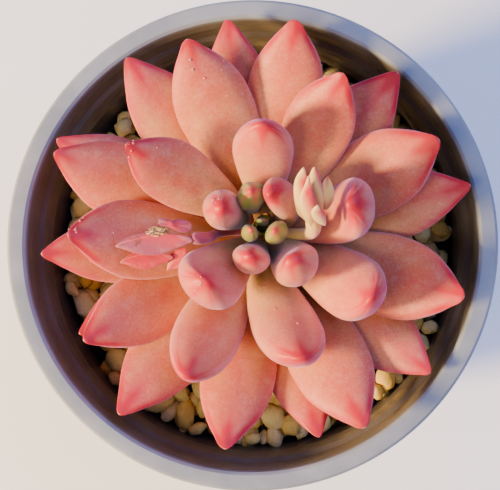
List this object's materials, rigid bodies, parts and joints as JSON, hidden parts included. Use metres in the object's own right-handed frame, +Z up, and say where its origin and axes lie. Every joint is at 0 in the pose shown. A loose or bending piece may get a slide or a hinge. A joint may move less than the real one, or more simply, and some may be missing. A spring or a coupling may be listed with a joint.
{
  "type": "potted succulent",
  "caption": "Fleshy pink succulent rosette with two small flower stalks, in a round tapered pot of soil topped with pumice grit.",
  "frame": {"origin": "middle of the foot of the pot, on the surface that the pot stands on", "axes": "+Z up along the axis of the pot; the stem leans slightly towards +Y"},
  "size_m": [0.095, 0.095, 0.1065],
  "materials": {
    "pot_plastic": "injection-moulded polypropylene, grey, satin with fine moulding rings",
    "soil": "damp peat and fine grit, matt",
    "gravel": "loose pumice grit, cream to ochre, matt and porous",
    "stem": "woody succulent stem, matt",
    "heart_leaf": "plump young leaf skin, cream green with red tip, waxy bloom",
    "inner_leaf": "fleshy leaf skin, cream peach with pink tip, waxy bloom",
    "middle_leaf": "fleshy leaf skin, salmon pink with red margin and tip, waxy bloom",
    "outer_leaf": "fleshy leaf skin, deeper pink with mauve shade, waxy bloom",
    "crown_bud": "young leaf bud, yellow green",
    "new_flower": "flower stalk and bud scales, cream with pink tips",
    "old_flower": "flower stalk and sepals, mauve pink with dried edges"
  },
  "bodies": {
    "root": {"pot": "pot_plastic", "soil": "soil", "gravel": "gravel", "stem": "stem", "heart_leaf_1": "heart_leaf", "heart_leaf_2": "heart_leaf", "heart_leaf_3": "heart_leaf", "heart_leaf_4": "heart_leaf", "heart_leaf_5": "heart_leaf", "heart_leaf_6": "heart_leaf", "heart_leaf_7": "heart_leaf", "inner_leaf_1": "inner_leaf", "inner_leaf_2": "inner_leaf", "inner_leaf_3": "inner_leaf", "inner_leaf_4": "inner_leaf", "inner_leaf_5": "inner_leaf", "inner_leaf_6": "inner_leaf", "middle_leaf_1": "middle_leaf", "middle_leaf_2": "middle_leaf", "middle_leaf_3": "middle_leaf", "middle_leaf_4": "middle_leaf", "middle_leaf_5": "middle_leaf", "middle_leaf_6": "middle_leaf", "middle_leaf_7": "middle_leaf", "middle_leaf_8": "middle_leaf", "middle_leaf_9": "middle_leaf", "middle_leaf_10": "middle_leaf", "middle_leaf_11": "middle_leaf", "outer_leaf_1": "outer_leaf", "outer_leaf_2": "outer_leaf", "outer_leaf_3": "outer_leaf", "outer_leaf_4": "outer_leaf", "outer_leaf_5": "outer_leaf", "outer_leaf_6": "outer_leaf", "outer_leaf_7": "outer_leaf", "outer_leaf_8": "outer_leaf", "outer_leaf_9": "outer_leaf", "outer_leaf_10": "outer_leaf", "crown_bud": "crown_bud", "new_flower_stalk": "new_flower", "new_bud_scale_1": "new_flower", "new_bud_scale_2": "new_flower", "new_bud_scale_3": "new_flower", "new_bud_scale_4": "new_flower", "new_bud_scale_5": "new_flower", "old_flower_stalk": "old_flower", "old_sepal_1": "old_flower", "old_sepal_2": "old_flower", "old_sepal_3": "old_flower", "old_sepal_4": "old_flower"}
  },
  "joints": []
}
